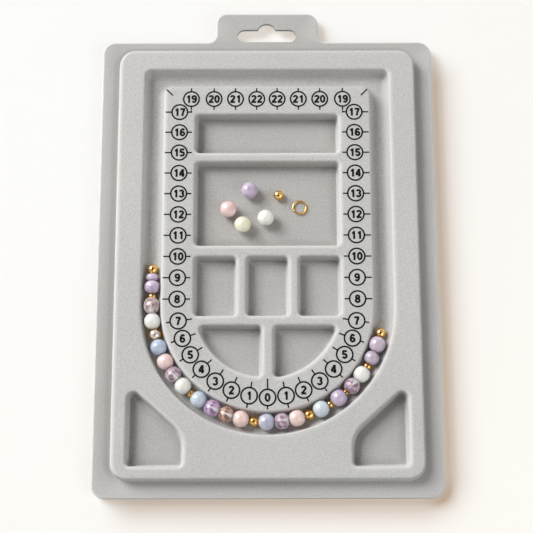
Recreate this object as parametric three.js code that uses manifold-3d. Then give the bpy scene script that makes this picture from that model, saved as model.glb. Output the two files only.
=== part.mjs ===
// Bead board: a flocked tray with a measuring channel, compartments and a hang tab, and the beads lying in it.
// Millimetres, +Z up. The underside is on z = 0 and the middle of the whole outline is on x = 0, y = 0.
import * as THREE from "three";
import { mergeVertices } from "three/addons/utils/BufferGeometryUtils.js";
import Module from "manifold-3d";

const wasm = await Module();
wasm.setup();

// Driving sizes of the board's outline, seen from above.
const boardWidth = 157.4;
const boardLength = 216.6;
const boardCorner = 6;
const tabWidth = 48.8;
const tabLength = 14.8;
const tabCorner = 5;
const tabFillet = 4;
const slotWidth = 28;
const slotHeight = 6.4;
const slotEndFlat = 0.1;
const humpRadius = 4.6;
const humpRise = 1.7;

// Driving sizes of the sheet and its levels.
const sheet = 1.8;
const edgeHeight = 5.3;
const edgeRound = 0.9;
const plateauRise = 6;
const channelDepth = 6.3;
const pocketDepth = 6.7;
const sideFlange = 9.9;
const backFlange = 7.6;
const frontFlange = 9;
const plateauCorner = 6.5;

// Driving sizes of the channel and the compartments.
const sideLand = 10.3;
const topLand = 8;
const frontLand = 17.6;
const channelRoom = 3.5;
const topChannelWidth = 10.3;
const channelCorner = 4;
const islandCorner = 3;
const frontWiden = 1.1;
const labelBand = 12.95;
const topLabelBand = 12;
const rib = 2.3;
const wideRib = 3;
const pocketCorner = 3.2;
const wideLength = 21;
const largeLength = 42.4;
const quarterDrop = 8.3;
const quarterBand = 13.35;
const cornerSideInset = 4.7;
const cornerFrontInset = 3.6;
const cornerWidth = 27.5;
const cornerLand = 8.2;
const cornerAngle = THREE.MathUtils.degToRad(228);
const cornerTip = 4.2;
const cornerBulge = 14;

// Driving sizes of the formed walls: the round at the rim, the round at the foot, and the draft.
const channelForm = { rim: 1, foot: 3.4, draft: THREE.MathUtils.degToRad(8) };
const pocketForm = { rim: 1.1, foot: 0.5, draft: THREE.MathUtils.degToRad(8) };
const skirtForm = { rim: 0.9, foot: 0.8, draft: THREE.MathUtils.degToRad(10) };

// Driving sizes of the loose pieces: across the bore, and along it.
const beadGap = 0.25;
const seatGap = 0.3;
const wallRoom = 1.45;
const rowShift = -0.5;
const boreRadius = 0.6;
const roundBead = { across: 7.4, along: 7, shape: "round" };
const mediumBead = { across: 6.9, along: 5.8, shape: "round" };
const smallBead = { across: 5.4, along: 3.1, shape: "round" };
const silverBead = { across: 5.7, along: 4.9, shape: "round" };
const ballBead = { across: 4.2, along: 4.1, shape: "round" };
const cutBead = { across: 7.3, along: 6.2, shape: "cut" };
const cutBall = { across: 7.4, along: 7, shape: "cut" };
const spacerBead = { across: 3.7, along: 1.9, shape: "disc" };
const thinSpacer = { across: 3.3, along: 1, shape: "disc" };
const looseBead = { across: 7.5, along: 7.1, shape: "round" };
const ringAcross = 6.9;
const ringWire = 1;

// How a cut bead narrows from its girdle to its end tables, and a spacer to its faces, as shares of its own size.
const cutForm = { girdle: 0.2, shoulder: 0.88, shoulderAt: 0.6, table: 0.52 };
const discForm = { side: 0.45, face: 0.7 };

// How finely curves are cut.
const cornerSteps = 4;
const archSteps = 26;
const quarterSteps = 6;
const humpSteps = 20;
const filletSteps = 3;
const footSteps = 2;
const beadSegments = 12;
const beadRows = 8;
const leastRadius = 0.25;
const overcut = 1;

// Levels.
const plateauTop = edgeHeight + plateauRise;
const channelFloor = plateauTop - channelDepth;
const pocketFloor = plateauTop - pocketDepth;

// Places that follow from the driving sizes. The board's own middle lies half a tab below the middle of the outline.
const boardMiddle = -tabLength / 2;
const backEdge = boardMiddle + boardLength / 2;
const frontEdge = boardMiddle - boardLength / 2;
const plateauHalf = boardWidth / 2 - sideFlange;
const plateauBack = backEdge - backFlange;
const plateauFront = frontEdge + frontFlange;
const channelWidth = roundBead.across + channelRoom;
const basinHalf = plateauHalf - sideLand;
const basinTop = plateauBack - topLand;
const basinCentre = plateauFront + frontLand + basinHalf;
const islandHalf = basinHalf - channelWidth;
const islandTop = basinTop - topChannelWidth;
const islandCentre = basinCentre + frontWiden;
const pocketHalf = islandHalf - labelBand;
const stackTop = islandTop - topLabelBand;
const quarterTop = islandCentre - quarterDrop;
const quarterRadius = islandHalf - quarterBand;
const wideFront = stackTop - wideLength;
const largeBack = wideFront - rib;
const largeFront = largeBack - largeLength;
const smallBack = largeFront - wideRib;
const smallFront = quarterTop + rib;
const smallWidth = (2 * pocketHalf - 2 * rib) / 3;

// A closed outline with rounded corners, moved inwards by inset. The corners run anticlockwise.
function roundedOutline(corners, inset) {
  const count = corners.length;
  const edges = corners.map((corner, i) => {
    const next = corners[(i + 1) % count];
    const way = new THREE.Vector2(next.x - corner.x, next.y - corner.y).normalize();
    const inward = new THREE.Vector2(-way.y, way.x);
    const from = new THREE.Vector2(corner.x, corner.y).addScaledVector(inward, inset);
    return { from, way };
  });
  const points = [];
  corners.forEach((corner, i) => {
    const before = edges[(i + count - 1) % count];
    const after = edges[i];
    const turn = before.way.cross(after.way);
    const reach = after.from.clone().sub(before.from).cross(after.way) / turn;
    const tip = before.from.clone().addScaledVector(before.way, reach);
    const side = Math.sign(turn);
    const angle = Math.atan2(turn, before.way.dot(after.way));
    const radius = Math.max(corner.round - side * inset, leastRadius);
    const back = radius * Math.tan(Math.abs(angle) / 2);
    const start = tip.clone().addScaledVector(before.way, -back);
    const centre = start.clone().add(new THREE.Vector2(-before.way.y, before.way.x).multiplyScalar(side * radius));
    for (let k = 0; k <= cornerSteps; k += 1) {
      points.push(start.clone().rotateAround(centre, (angle * k) / cornerSteps));
    }
  });
  return points;
}

// A rectangle with rounded corners, given by its sides.
function boxOutline(left, right, front, back, round) {
  const corners = [
    { x: left, y: front, round },
    { x: right, y: front, round },
    { x: right, y: back, round },
    { x: left, y: back, round },
  ];
  return (inset) => roundedOutline(corners, inset);
}

// Points along an arc about (x, y), from one angle to another.
function arcPoints(x, y, radius, from, to, steps) {
  const points = [];
  for (let k = 0; k <= steps; k += 1) {
    const angle = from + ((to - from) * k) / steps;
    points.push(new THREE.Vector2(x + radius * Math.cos(angle), y + radius * Math.sin(angle)));
  }
  return points;
}

// A square back with rounded corners, and a half circle at the front.
function archOutline(half, back, centre, corner) {
  return (inset) => {
    const reach = half - inset;
    const round = Math.max(corner - inset, leastRadius);
    const middle = back - inset - round;
    return [
      ...arcPoints(reach - round, middle, round, 0, Math.PI / 2, cornerSteps),
      ...arcPoints(round - reach, middle, round, Math.PI / 2, Math.PI, cornerSteps),
      ...arcPoints(0, centre, reach, Math.PI, 2 * Math.PI, archSteps),
    ];
  };
}

// The same outline on the other side of the middle line, still anticlockwise.
function mirrored(outline) {
  return (inset) =>
    outline(inset)
      .map((p) => new THREE.Vector2(-p.x, p.y))
      .reverse();
}

// The board with its tab, which joins the back edge through two hollow fillets.
const boardOutline = (inset) =>
  roundedOutline(
    [
      { x: -boardWidth / 2, y: frontEdge, round: boardCorner },
      { x: boardWidth / 2, y: frontEdge, round: boardCorner },
      { x: boardWidth / 2, y: backEdge, round: boardCorner },
      { x: tabWidth / 2, y: backEdge, round: tabFillet },
      { x: tabWidth / 2, y: backEdge + tabLength, round: tabCorner },
      { x: -tabWidth / 2, y: backEdge + tabLength, round: tabCorner },
      { x: -tabWidth / 2, y: backEdge, round: tabFillet },
      { x: -boardWidth / 2, y: backEdge, round: boardCorner },
    ],
    inset,
  );
const plateauOutline = boxOutline(-plateauHalf, plateauHalf, plateauFront, plateauBack, plateauCorner);
const basinOutline = archOutline(basinHalf, basinTop, basinCentre, channelCorner);
const islandOutline = archOutline(islandHalf, islandTop, islandCentre, islandCorner);

// A quarter compartment: straight at the back and beside the middle rib, round along the island's front.
function leftQuarter(inset) {
  const round = Math.max(pocketCorner - inset, leastRadius);
  const reach = quarterRadius - inset;
  const inner = reach - round;
  const backMiddle = quarterTop - inset - round;
  const ribMiddle = -wideRib / 2 - inset - round;
  const sideMiddle = -Math.sqrt(inner ** 2 - (islandCentre - backMiddle) ** 2);
  const frontMiddle = islandCentre - Math.sqrt(inner ** 2 - ribMiddle ** 2);
  const sideAngle = Math.PI + Math.atan2(islandCentre - backMiddle, -sideMiddle);
  const frontAngle = Math.PI + Math.atan2(islandCentre - frontMiddle, -ribMiddle);
  return [
    ...arcPoints(sideMiddle, backMiddle, round, Math.PI / 2, sideAngle, cornerSteps),
    ...arcPoints(0, islandCentre, reach, sideAngle, frontAngle, quarterSteps).slice(1, -1),
    ...arcPoints(ribMiddle, frontMiddle, round, frontAngle, 2 * Math.PI, cornerSteps),
    ...arcPoints(ribMiddle, backMiddle, round, 0, Math.PI / 2, cornerSteps),
  ];
}

// A corner compartment: its slanting side lies along the channel, a land away from it.
function cornerCorners() {
  const left = -plateauHalf + cornerSideInset;
  const right = left + cornerWidth;
  const front = plateauFront + cornerFrontInset;
  const away = basinHalf + cornerLand;
  const slantAt = (x) => basinCentre + (away - x * Math.cos(cornerAngle)) / Math.sin(cornerAngle);
  return [
    { x: left, y: front, round: pocketCorner },
    { x: right, y: front, round: pocketCorner },
    { x: right, y: slantAt(right), round: cornerBulge },
    { x: left, y: slantAt(left), round: cornerTip },
  ];
}
const leftCorner = (inset) => roundedOutline(cornerCorners(), inset);

const pocketOutlines = [
  boxOutline(-pocketHalf, pocketHalf, wideFront, stackTop, pocketCorner),
  boxOutline(-pocketHalf, pocketHalf, largeFront, largeBack, pocketCorner),
  boxOutline(-pocketHalf, -pocketHalf + smallWidth, smallFront, smallBack, pocketCorner),
  boxOutline(-smallWidth / 2, smallWidth / 2, smallFront, smallBack, pocketCorner),
  boxOutline(pocketHalf - smallWidth, pocketHalf, smallFront, smallBack, pocketCorner),
  leftQuarter,
  mirrored(leftQuarter),
  leftCorner,
  mirrored(leftCorner),
];

// The side of a formed wall, from the rim down: how far it has run from the rim, and how far it has dropped.
function faceProfile(form, depth) {
  const lean = Math.PI / 2 - form.draft;
  const straight = depth - (form.rim + form.foot) * (1 - Math.sin(form.draft));
  const total = (form.rim + form.foot) * Math.cos(form.draft) + straight * Math.tan(form.draft);
  const points = [];
  for (let k = 0; k <= filletSteps; k += 1) {
    const angle = (lean * k) / filletSteps;
    points.push({ run: form.rim * Math.sin(angle), drop: form.rim * (1 - Math.cos(angle)) });
  }
  for (let k = 0; k <= filletSteps; k += 1) {
    const angle = lean * (1 - k / filletSteps);
    points.push({
      run: total - form.foot * Math.sin(angle),
      drop: depth - form.foot * (1 - Math.cos(angle)),
    });
  }
  return { points, total };
}

// The same wall seen from below, one sheet away from its face. It starts at the given drop.
function underProfile(form, depth, startDrop) {
  const lean = Math.PI / 2 - form.draft;
  const total = faceProfile(form, depth).total;
  const rimRun = form.rim * Math.cos(form.draft);
  const rimDrop = form.rim * (1 - Math.sin(form.draft));
  const runAt = (drop) => rimRun + Math.tan(form.draft) * (drop - rimDrop) - sheet / Math.cos(form.draft);
  const points = [{ run: runAt(startDrop), drop: startDrop }];
  for (let k = 0; k <= footSteps; k += 1) {
    const angle = lean * (1 - k / footSteps);
    points.push({
      run: total - (form.foot + sheet) * Math.sin(angle),
      drop: depth - form.foot + (form.foot + sheet) * Math.cos(angle),
    });
  }
  return points;
}

// A closed solid through rings of equal count, listed from the lowest up.
function loft(rings) {
  const count = rings[0].points.length;
  const position = [];
  rings.forEach((ring) => ring.points.forEach((p) => position.push(p.x, p.y, ring.z)));
  const index = [];
  for (let r = 0; r + 1 < rings.length; r += 1) {
    for (let i = 0; i < count; i += 1) {
      const a = r * count + i;
      const b = r * count + ((i + 1) % count);
      index.push(a, b, b + count, a, b + count, a + count);
    }
  }
  const top = (rings.length - 1) * count;
  THREE.ShapeUtils.triangulateShape(rings[0].points, []).forEach(([a, b, c]) => index.push(c, b, a));
  THREE.ShapeUtils.triangulateShape(rings[rings.length - 1].points, []).forEach(([a, b, c]) =>
    index.push(top + a, top + b, top + c),
  );
  const geometry = new THREE.BufferGeometry();
  geometry.setAttribute("position", new THREE.Float32BufferAttribute(position, 3));
  geometry.setIndex(index);
  return solidOf(geometry);
}

// A geometry as a solid for cutting and joining.
function solidOf(geometry) {
  const bare = geometry.clone();
  bare.deleteAttribute("normal");
  bare.deleteAttribute("uv");
  const merged = mergeVertices(bare, 1e-4);
  return new wasm.Manifold(
    new wasm.Mesh({
      numProp: 3,
      vertProperties: new Float32Array(merged.attributes.position.array),
      triVerts: new Uint32Array(merged.index.array),
    }),
  );
}

// A solid back as a geometry.
function geometryOf(solid) {
  const mesh = solid.getMesh();
  const geometry = new THREE.BufferGeometry();
  geometry.setAttribute("position", new THREE.BufferAttribute(new Float32Array(mesh.vertProperties), 3));
  geometry.setIndex(new THREE.BufferAttribute(new Uint32Array(mesh.triVerts), 1));
  geometry.computeVertexNormals();
  return geometry;
}

// A hollow pressed into the plateau, as the solid to cut away.
function sunk(outline, form, depth) {
  const face = faceProfile(form, depth).points;
  const rings = face.map((p) => ({ z: plateauTop - p.drop, points: outline(p.run) })).reverse();
  rings.push({ z: plateauTop + overcut, points: outline(0) });
  return loft(rings);
}

// The sheet under such a hollow, as the solid that the space below keeps clear of.
function sunkUnder(outline, form, depth) {
  const under = underProfile(form, depth, -overcut);
  return loft(under.map((p) => ({ z: plateauTop - p.drop, points: outline(p.run) })).reverse());
}

// A raised form on a level the given depth below the plateau, reaching a little into what carries it.
function raised(outline, form, depth) {
  const face = faceProfile(form, depth);
  const rings = face.points.map((p) => ({ z: plateauTop - p.drop, points: outline(-p.run) })).reverse();
  rings.unshift({ z: plateauTop - depth - sheet / 2, points: outline(-face.total) });
  return loft(rings);
}

// The space under such a raised form.
function raisedUnder(outline, form, depth) {
  const under = underProfile(form, depth, sheet);
  const rings = under.map((p) => ({ z: plateauTop - p.drop, points: outline(-p.run) })).reverse();
  const foot = under[under.length - 1];
  rings.unshift({ z: plateauTop - foot.drop - overcut, points: outline(-foot.run) });
  return loft(rings);
}

// The flange with its turned-down edge, as a solid block.
function flangeBlock() {
  const rings = [{ z: 0, points: boardOutline(0) }];
  for (let k = 0; k <= filletSteps; k += 1) {
    const angle = ((Math.PI / 2) * k) / filletSteps;
    rings.push({
      z: edgeHeight - edgeRound + edgeRound * Math.sin(angle),
      points: boardOutline(edgeRound * (1 - Math.cos(angle))),
    });
  }
  return loft(rings);
}

function flangeUnder() {
  return loft([
    { z: -overcut, points: boardOutline(sheet) },
    { z: edgeHeight - sheet, points: boardOutline(sheet) },
  ]);
}

// The hang slot: a long hole with a round hump in the middle of its back side.
function hangSlot() {
  const front = backEdge;
  const endRound = (slotHeight - slotEndFlat) / 2;
  const long = boxOutline(-slotWidth / 2, slotWidth / 2, front, front + slotHeight, endRound);
  const humpMiddle = front + slotHeight / 2 + humpRise;
  const hump = arcPoints(0, humpMiddle, humpRadius, 0, 2 * Math.PI, humpSteps).slice(1);
  const low = -overcut;
  const high = edgeHeight + overcut;
  const longHole = loft([
    { z: low, points: long(0) },
    { z: high, points: long(0) },
  ]);
  const humpHole = loft([
    { z: low, points: hump },
    { z: high, points: hump },
  ]);
  const keep = loft(
    [low, high].map((z) => ({
      z,
      points: [
        new THREE.Vector2(-slotWidth, front + slotHeight / 2),
        new THREE.Vector2(slotWidth, front + slotHeight / 2),
        new THREE.Vector2(slotWidth, backEdge + tabLength),
        new THREE.Vector2(-slotWidth, backEdge + tabLength),
      ],
    })),
  );
  return longHole.add(humpHole.intersect(keep));
}

// The tray: the formed face above, less the same form one sheet below it.
function traySolid() {
  let face = flangeBlock().add(raised(plateauOutline, skirtForm, plateauRise));
  face = face.subtract(sunk(basinOutline, channelForm, channelDepth));
  face = face.add(raised(islandOutline, channelForm, channelDepth));
  let space = flangeUnder().add(raisedUnder(plateauOutline, skirtForm, plateauRise));
  space = space.subtract(sunkUnder(basinOutline, channelForm, channelDepth));
  space = space.add(raisedUnder(islandOutline, channelForm, channelDepth));
  pocketOutlines.forEach((outline) => {
    face = face.subtract(sunk(outline, pocketForm, pocketDepth));
    space = space.subtract(sunkUnder(outline, pocketForm, pocketDepth));
  });
  return face.subtract(space).subtract(hangSlot());
}

// A bead's half section, from one end of the bore round the outside to the other and back along the bore.
function beadSection(kind) {
  const reach = kind.across / 2;
  const half = kind.along / 2;
  const section = [];
  if (kind.shape === "round") {
    const last = Math.acos(boreRadius / reach);
    for (let k = 0; k <= beadRows; k += 1) {
      const angle = last * ((2 * k) / beadRows - 1);
      section.push([reach * Math.cos(angle), (half * Math.sin(angle)) / Math.sin(last)]);
    }
  } else if (kind.shape === "cut") {
    const { girdle, shoulder, shoulderAt, table } = cutForm;
    section.push([boreRadius, -half], [table * reach, -half], [shoulder * reach, -shoulderAt * half]);
    section.push([reach, -girdle * half], [reach, girdle * half]);
    section.push([shoulder * reach, shoulderAt * half], [table * reach, half], [boreRadius, half]);
  } else {
    const { side, face } = discForm;
    section.push([boreRadius, -half], [face * reach, -half], [reach, -side * half]);
    section.push([reach, side * half], [face * reach, half], [boreRadius, half]);
  }
  section.push(section[0]);
  return section.map(([x, y]) => new THREE.Vector2(x, y));
}

const beadShapes = new Map();
function beadGeometry(kind) {
  if (!beadShapes.has(kind)) {
    const lathe = new THREE.LatheGeometry(beadSection(kind), beadSegments);
    beadShapes.set(kind, geometryOf(solidOf(lathe)));
  }
  return beadShapes.get(kind);
}

const stone = { roughness: 0.22, metalness: 0 };
const cutGlass = { roughness: 0.08, metalness: 0, transparent: true, opacity: 0.75 };
const coats = {
  tray: { color: 0xc4c3c0, roughness: 0.95, metalness: 0 },
  lilac: { color: 0xb7a6cf, ...stone },
  lilac_grey: { color: 0xbfb4cb, ...stone },
  lilac_rose: { color: 0xcdb3cb, ...stone },
  white: { color: 0xeeeae6, ...stone },
  cream: { color: 0xefe2cc, ...stone },
  pearl: { color: 0xefe9e2, ...stone },
  blue: { color: 0x9db7dc, ...stone },
  blue_light: { color: 0xa9c3e0, ...stone },
  blue_pale: { color: 0xcfdce8, ...stone },
  periwinkle: { color: 0xa9a9d8, ...stone },
  pink: { color: 0xeab2a8, ...stone },
  peach: { color: 0xf0c4b8, ...stone },
  crystal_peach: { color: 0xe9b9b4, ...cutGlass },
  crystal_lilac: { color: 0xd3add6, ...cutGlass },
  crystal_purple: { color: 0xb58fd0, ...cutGlass },
  crystal_rose: { color: 0xe59a9a, ...cutGlass },
  crystal_silver: { color: 0xd9d3c4, ...cutGlass },
  gold: { color: 0xd9a441, roughness: 0.2, metalness: 1 },
};
function coatOf(name) {
  const coat = new THREE.MeshStandardMaterial(coats[name]);
  coat.name = name;
  return coat;
}

const board = new THREE.Group();
board.name = "bead_board";

const tray = new THREE.Mesh(geometryOf(traySolid()), coatOf("tray"));
tray.name = "tray";
board.add(tray);

// The row in the channel, from the left end, each with its name, kind and coat.
const row = [
  ["bead01_gold_ball", ballBead, "gold"],
  ["bead02_lilac_small", smallBead, "lilac"],
  ["bead03_lilac", mediumBead, "lilac"],
  ["spacer04_gold", spacerBead, "gold"],
  ["bead05_crystal_peach", cutBall, "crystal_peach"],
  ["bead06_white", roundBead, "white"],
  ["bead07_crystal_silver", silverBead, "crystal_silver"],
  ["bead08_blue", roundBead, "blue"],
  ["bead09_pink", roundBead, "pink"],
  ["bead10_crystal_lilac", cutBead, "crystal_lilac"],
  ["bead11_pearl", roundBead, "pearl"],
  ["spacer12_gold", spacerBead, "gold"],
  ["bead13_blue_light", roundBead, "blue_light"],
  ["bead14_crystal_purple", cutBall, "crystal_purple"],
  ["bead15_crystal_rose", cutBead, "crystal_rose"],
  ["bead16_peach", roundBead, "peach"],
  ["bead17_gold_ball", ballBead, "gold"],
  ["bead18_periwinkle", roundBead, "periwinkle"],
  ["bead19_crystal_lilac", cutBead, "crystal_lilac"],
  ["bead20_peach", roundBead, "peach"],
  ["bead21_gold_ball", ballBead, "gold"],
  ["bead22_blue_pale", roundBead, "blue_pale"],
  ["spacer23_gold", spacerBead, "gold"],
  ["bead24_lilac", roundBead, "lilac"],
  ["spacer25_gold_thin", thinSpacer, "gold"],
  ["bead26_crystal_lilac", cutBead, "crystal_lilac"],
  ["bead27_white", roundBead, "white"],
  ["spacer28_gold", spacerBead, "gold"],
  ["bead29_lilac_grey", mediumBead, "lilac_grey"],
  ["bead30_lilac_rose", roundBead, "lilac_rose"],
  ["bead31_gold_ball", ballBead, "gold"],
];
const middleBead = 17;

// The row follows the island's wall, with room for that wall's slope, and the middle bead lies beside the front.
const rowHalf = islandHalf + wallRoom + roundBead.across / 2;
const quarterTurn = (rowHalf * Math.PI) / 2;
function rowPlace(along) {
  const side = Math.sign(along) || 1;
  const reach = Math.abs(along);
  if (reach > quarterTurn) {
    return { x: side * rowHalf, y: islandCentre + reach - quarterTurn, heading: (side * Math.PI) / 2 };
  }
  const angle = along / rowHalf;
  return {
    x: rowHalf * Math.sin(angle),
    y: islandCentre - rowHalf * Math.cos(angle),
    heading: angle,
  };
}

const rowAlong = [0];
for (let i = 1; i < row.length; i += 1) {
  rowAlong.push(rowAlong[i - 1] + row[i - 1][1].along / 2 + beadGap + row[i][1].along / 2);
}
row.forEach(([name, kind, coat], i) => {
  const place = rowPlace(rowAlong[i] - rowAlong[middleBead] + rowShift);
  const bead = new THREE.Mesh(beadGeometry(kind), coatOf(coat));
  bead.name = name;
  bead.position.set(place.x, place.y, channelFloor + seatGap + kind.across / 2);
  bead.rotation.z = place.heading - Math.PI / 2;
  board.add(bead);
});

// The loose pieces in the large compartment, each with its place from the compartment's middle. An upright one stands
// on an end of its bore.
const largeMiddle = (largeBack + largeFront) / 2;
const loose = [
  ["loose_bead_lilac", looseBead, "lilac", -8.2, 7.05, "upright"],
  ["loose_bead_pink", looseBead, "pink", -18.1, -2.15, "lying"],
  ["loose_bead_cream", looseBead, "cream", -11.4, -9.45, "lying"],
  ["loose_bead_white", looseBead, "white", -0.7, -6.25, "lying"],
  ["loose_gold_ball", ballBead, "gold", 5.3, 5.05, "upright"],
];
loose.forEach(([name, kind, coat, across, up, stance]) => {
  const upright = stance === "upright";
  const height = upright ? kind.along : kind.across;
  const bead = new THREE.Mesh(beadGeometry(kind), coatOf(coat));
  bead.name = name;
  bead.position.set(across, largeMiddle + up, pocketFloor + seatGap + height / 2);
  bead.rotation.x = upright ? Math.PI / 2 : 0;
  board.add(bead);
});

const ringPlace = { across: 15.1, up: -0.45 };
const ringGeometry = new THREE.TorusGeometry((ringAcross - ringWire) / 2, ringWire / 2, 8, 20);
const ring = new THREE.Mesh(geometryOf(solidOf(ringGeometry)), coatOf("gold"));
ring.name = "loose_jump_ring";
ring.position.set(ringPlace.across, largeMiddle + ringPlace.up, pocketFloor + seatGap + ringWire / 2);
board.add(ring);

export default board;
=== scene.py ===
import random
from math import asin, atan2, cos, pi, radians, sin, sqrt, tan
import bmesh
import bpy
from mathutils import Matrix, Vector
from mathutils.geometry import delaunay_2d_cdt


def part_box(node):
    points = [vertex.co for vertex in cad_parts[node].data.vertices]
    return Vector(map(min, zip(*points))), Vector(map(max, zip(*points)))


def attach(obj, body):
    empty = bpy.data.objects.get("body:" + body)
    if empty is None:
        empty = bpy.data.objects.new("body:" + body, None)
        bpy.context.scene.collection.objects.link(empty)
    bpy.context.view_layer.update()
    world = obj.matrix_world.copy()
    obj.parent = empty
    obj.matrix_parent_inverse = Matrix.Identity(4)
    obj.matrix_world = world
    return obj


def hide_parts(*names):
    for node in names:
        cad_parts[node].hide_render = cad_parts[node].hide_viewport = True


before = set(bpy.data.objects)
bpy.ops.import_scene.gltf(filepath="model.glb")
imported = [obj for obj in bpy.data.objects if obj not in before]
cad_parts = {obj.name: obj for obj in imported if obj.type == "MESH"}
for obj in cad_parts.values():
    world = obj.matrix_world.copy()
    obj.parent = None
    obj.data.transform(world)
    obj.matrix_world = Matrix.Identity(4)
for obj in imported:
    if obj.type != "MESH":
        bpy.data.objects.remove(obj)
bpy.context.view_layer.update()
scene = bpy.context.scene
scene.view_settings.view_transform = "Standard"
mm = 0.001
weldReach = 1e-6  # in metres
print("frame loaded,", len(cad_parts), "solids")


# colours are written as they look on screen, 0 to 255
def paint(red, green, blue):
    def linear(value):
        share = value / 255
        return share / 12.92 if share <= 0.04045 else ((share + 0.055) / 1.055) ** 2.4
    return (linear(red), linear(green), linear(blue), 1.0)


# a slot takes a plain value, or a link from a socket or from a node's first output
def fill(slot, value):
    if isinstance(value, bpy.types.Node):
        value = value.outputs[0]
    if isinstance(value, bpy.types.NodeSocket):
        slot.id_data.links.new(value, slot)
    else:
        slot.default_value = value


def fillAll(item, fills):
    for label, value in fills.items():
        fill(item.inputs[label], value)


def addNode(tree, kind, fills=None, **settings):
    item = tree.nodes.new(kind)
    for key, value in settings.items():
        setattr(item, key, value)
    fillAll(item, fills or {})
    return item


def mathNode(operation, *values):
    tree = next(value.id_data for value in values if hasattr(value, "id_data"))
    return addNode(tree, "ShaderNodeMath", dict(enumerate(values)), operation=operation)


def times(first, second):
    return mathNode("MULTIPLY", first, second)


def mixColor(factor, first, second, blend="MIX"):
    fills = {0: factor, 6: first, 7: second}
    return addNode(factor.id_data, "ShaderNodeMix", fills, data_type="RGBA", blend_type=blend).outputs[2]


# maps one range of a value onto another
def spread(value, low, high, fromLow=0.0, fromHigh=1.0, ease="LINEAR"):
    fills = {"Value": value, "From Min": fromLow, "From Max": fromHigh, "To Min": low, "To Max": high}
    return addNode(value.id_data, "ShaderNodeMapRange", fills, interpolation_type=ease)


def painted(tree, name, output="Fac"):
    return addNode(tree, "ShaderNodeAttribute", attribute_name=name).outputs[output]


def parts(vector):
    return addNode(vector.id_data, "ShaderNodeSeparateXYZ", {0: vector}).outputs


def vectorNode(tree, x=0.0, y=0.0, z=0.0):
    return addNode(tree, "ShaderNodeCombineXYZ", {"X": x, "Y": y, "Z": z})


def newGroup(name, kind, inputs, outputs):
    tree = bpy.data.node_groups.new(name, kind)
    for label, socket, value in inputs:
        made = tree.interface.new_socket(label, in_out="INPUT", socket_type="NodeSocket" + socket)
        if value is not None:
            made.default_value = value
    for label, socket in outputs:
        tree.interface.new_socket(label, in_out="OUTPUT", socket_type="NodeSocket" + socket)
    return tree, tree.nodes.new("NodeGroupInput").outputs, tree.nodes.new("NodeGroupOutput").inputs


def useGroup(group, place, values):
    return addNode(place.id_data, "ShaderNodeGroup", {"Vector": place, **values}, node_tree=group).outputs


def newMaterial(name):
    material = bpy.data.materials.new(name)
    material.use_nodes = True
    tree = material.node_tree
    tree.nodes.clear()
    surface = addNode(tree, "ShaderNodeBsdfPrincipled")
    addNode(tree, "ShaderNodeOutputMaterial", {"Surface": surface})
    place = addNode(tree, "ShaderNodeTexCoord").outputs["Object"]
    return material, tree, surface, place


def addObject(name, data):
    item = bpy.data.objects.new(name, data)
    scene.collection.objects.link(item)
    return item


def meshFrom(work, name):
    mesh = bpy.data.meshes.new(name)
    work.to_mesh(mesh)
    work.free()
    return mesh


# shared effects: a short pile of fine grains, and milky clouds inside a bead
effects = {
    "grainDetail": 3.0, "grainRough": 0.65, "grainRange": (0.28, 0.72), "cellShare": 1.6, "cellHeight": 0.5,
    "cloudDetail": 4.0, "cloudTwist": 0.6, "cloudRange": (0.35, 0.7),
}


def grainGroup():
    tree, given, made = newGroup(
        "fineGrain", "ShaderNodeTree",
        [("Vector", "Vector", None), ("Grains per metre", "Float", 2000.0)],
        [("Value", "Float"), ("Height", "Float")],
    )
    place, grains = given["Vector"], given["Grains per metre"]
    fine = addNode(tree, "ShaderNodeTexNoise", {
        "Vector": place, "Scale": grains, "Detail": effects["grainDetail"],
        "Roughness": effects["grainRough"]})
    cellScale = times(grains, effects["cellShare"])
    cells = addNode(tree, "ShaderNodeTexVoronoi", {"Vector": place, "Scale": cellScale})
    value = spread(fine.outputs["Fac"], 0.0, 1.0, *effects["grainRange"])
    bumps = times(mathNode("SUBTRACT", 1.0, cells.outputs["Distance"]), effects["cellHeight"])
    fill(made["Value"], value)
    fill(made["Height"], mathNode("ADD", bumps, value))
    return tree


def cloudGroup():
    tree, given, made = newGroup(
        "milkyClouds", "ShaderNodeTree",
        [("Vector", "Vector", None), ("Clouds per metre", "Float", 260.0),
         ("Body", "Color", (0.8, 0.8, 0.8, 1)), ("Cloud", "Color", (1, 1, 1, 1))],
        [("Color", "Color"), ("Value", "Float")],
    )
    cloud = addNode(tree, "ShaderNodeTexNoise", {
        "Vector": given["Vector"], "Scale": given["Clouds per metre"], "Detail": effects["cloudDetail"],
        "Distortion": effects["cloudTwist"]})
    share = spread(cloud.outputs["Fac"], 0.0, 1.0, *effects["cloudRange"])
    fill(made["Color"], mixColor(share, given["Body"], given["Cloud"]))
    fill(made["Value"], share)
    return tree


fineGrain = grainGroup()
milkyClouds = cloudGroup()


# the flocked sheet: speckled pile with painted shade, darker at the feet of walls, on compartment floors and
# under the sheet, and painted highlight, paler on rims and walls facing the lamps and along the board's
# rounded edge
flockLook = {
    "pale": paint(216, 215, 213), "dark": paint(182, 181, 179), "pressed": paint(216, 215, 213),
    "paintedHighlight": paint(236, 235, 233), "highlightShare": 0.75, "grains": 1700.0, "blotches": 22.0,
    "blotchTone": (0.97, 1.03), "blotchRange": (0.3, 0.7), "rough": (0.98, 0.86), "bump": 0.35,
    "bumpReach": 0.25, "gloss": 0.15, "sheen": 0.12, "sheenRough": 0.5,
}


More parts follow.
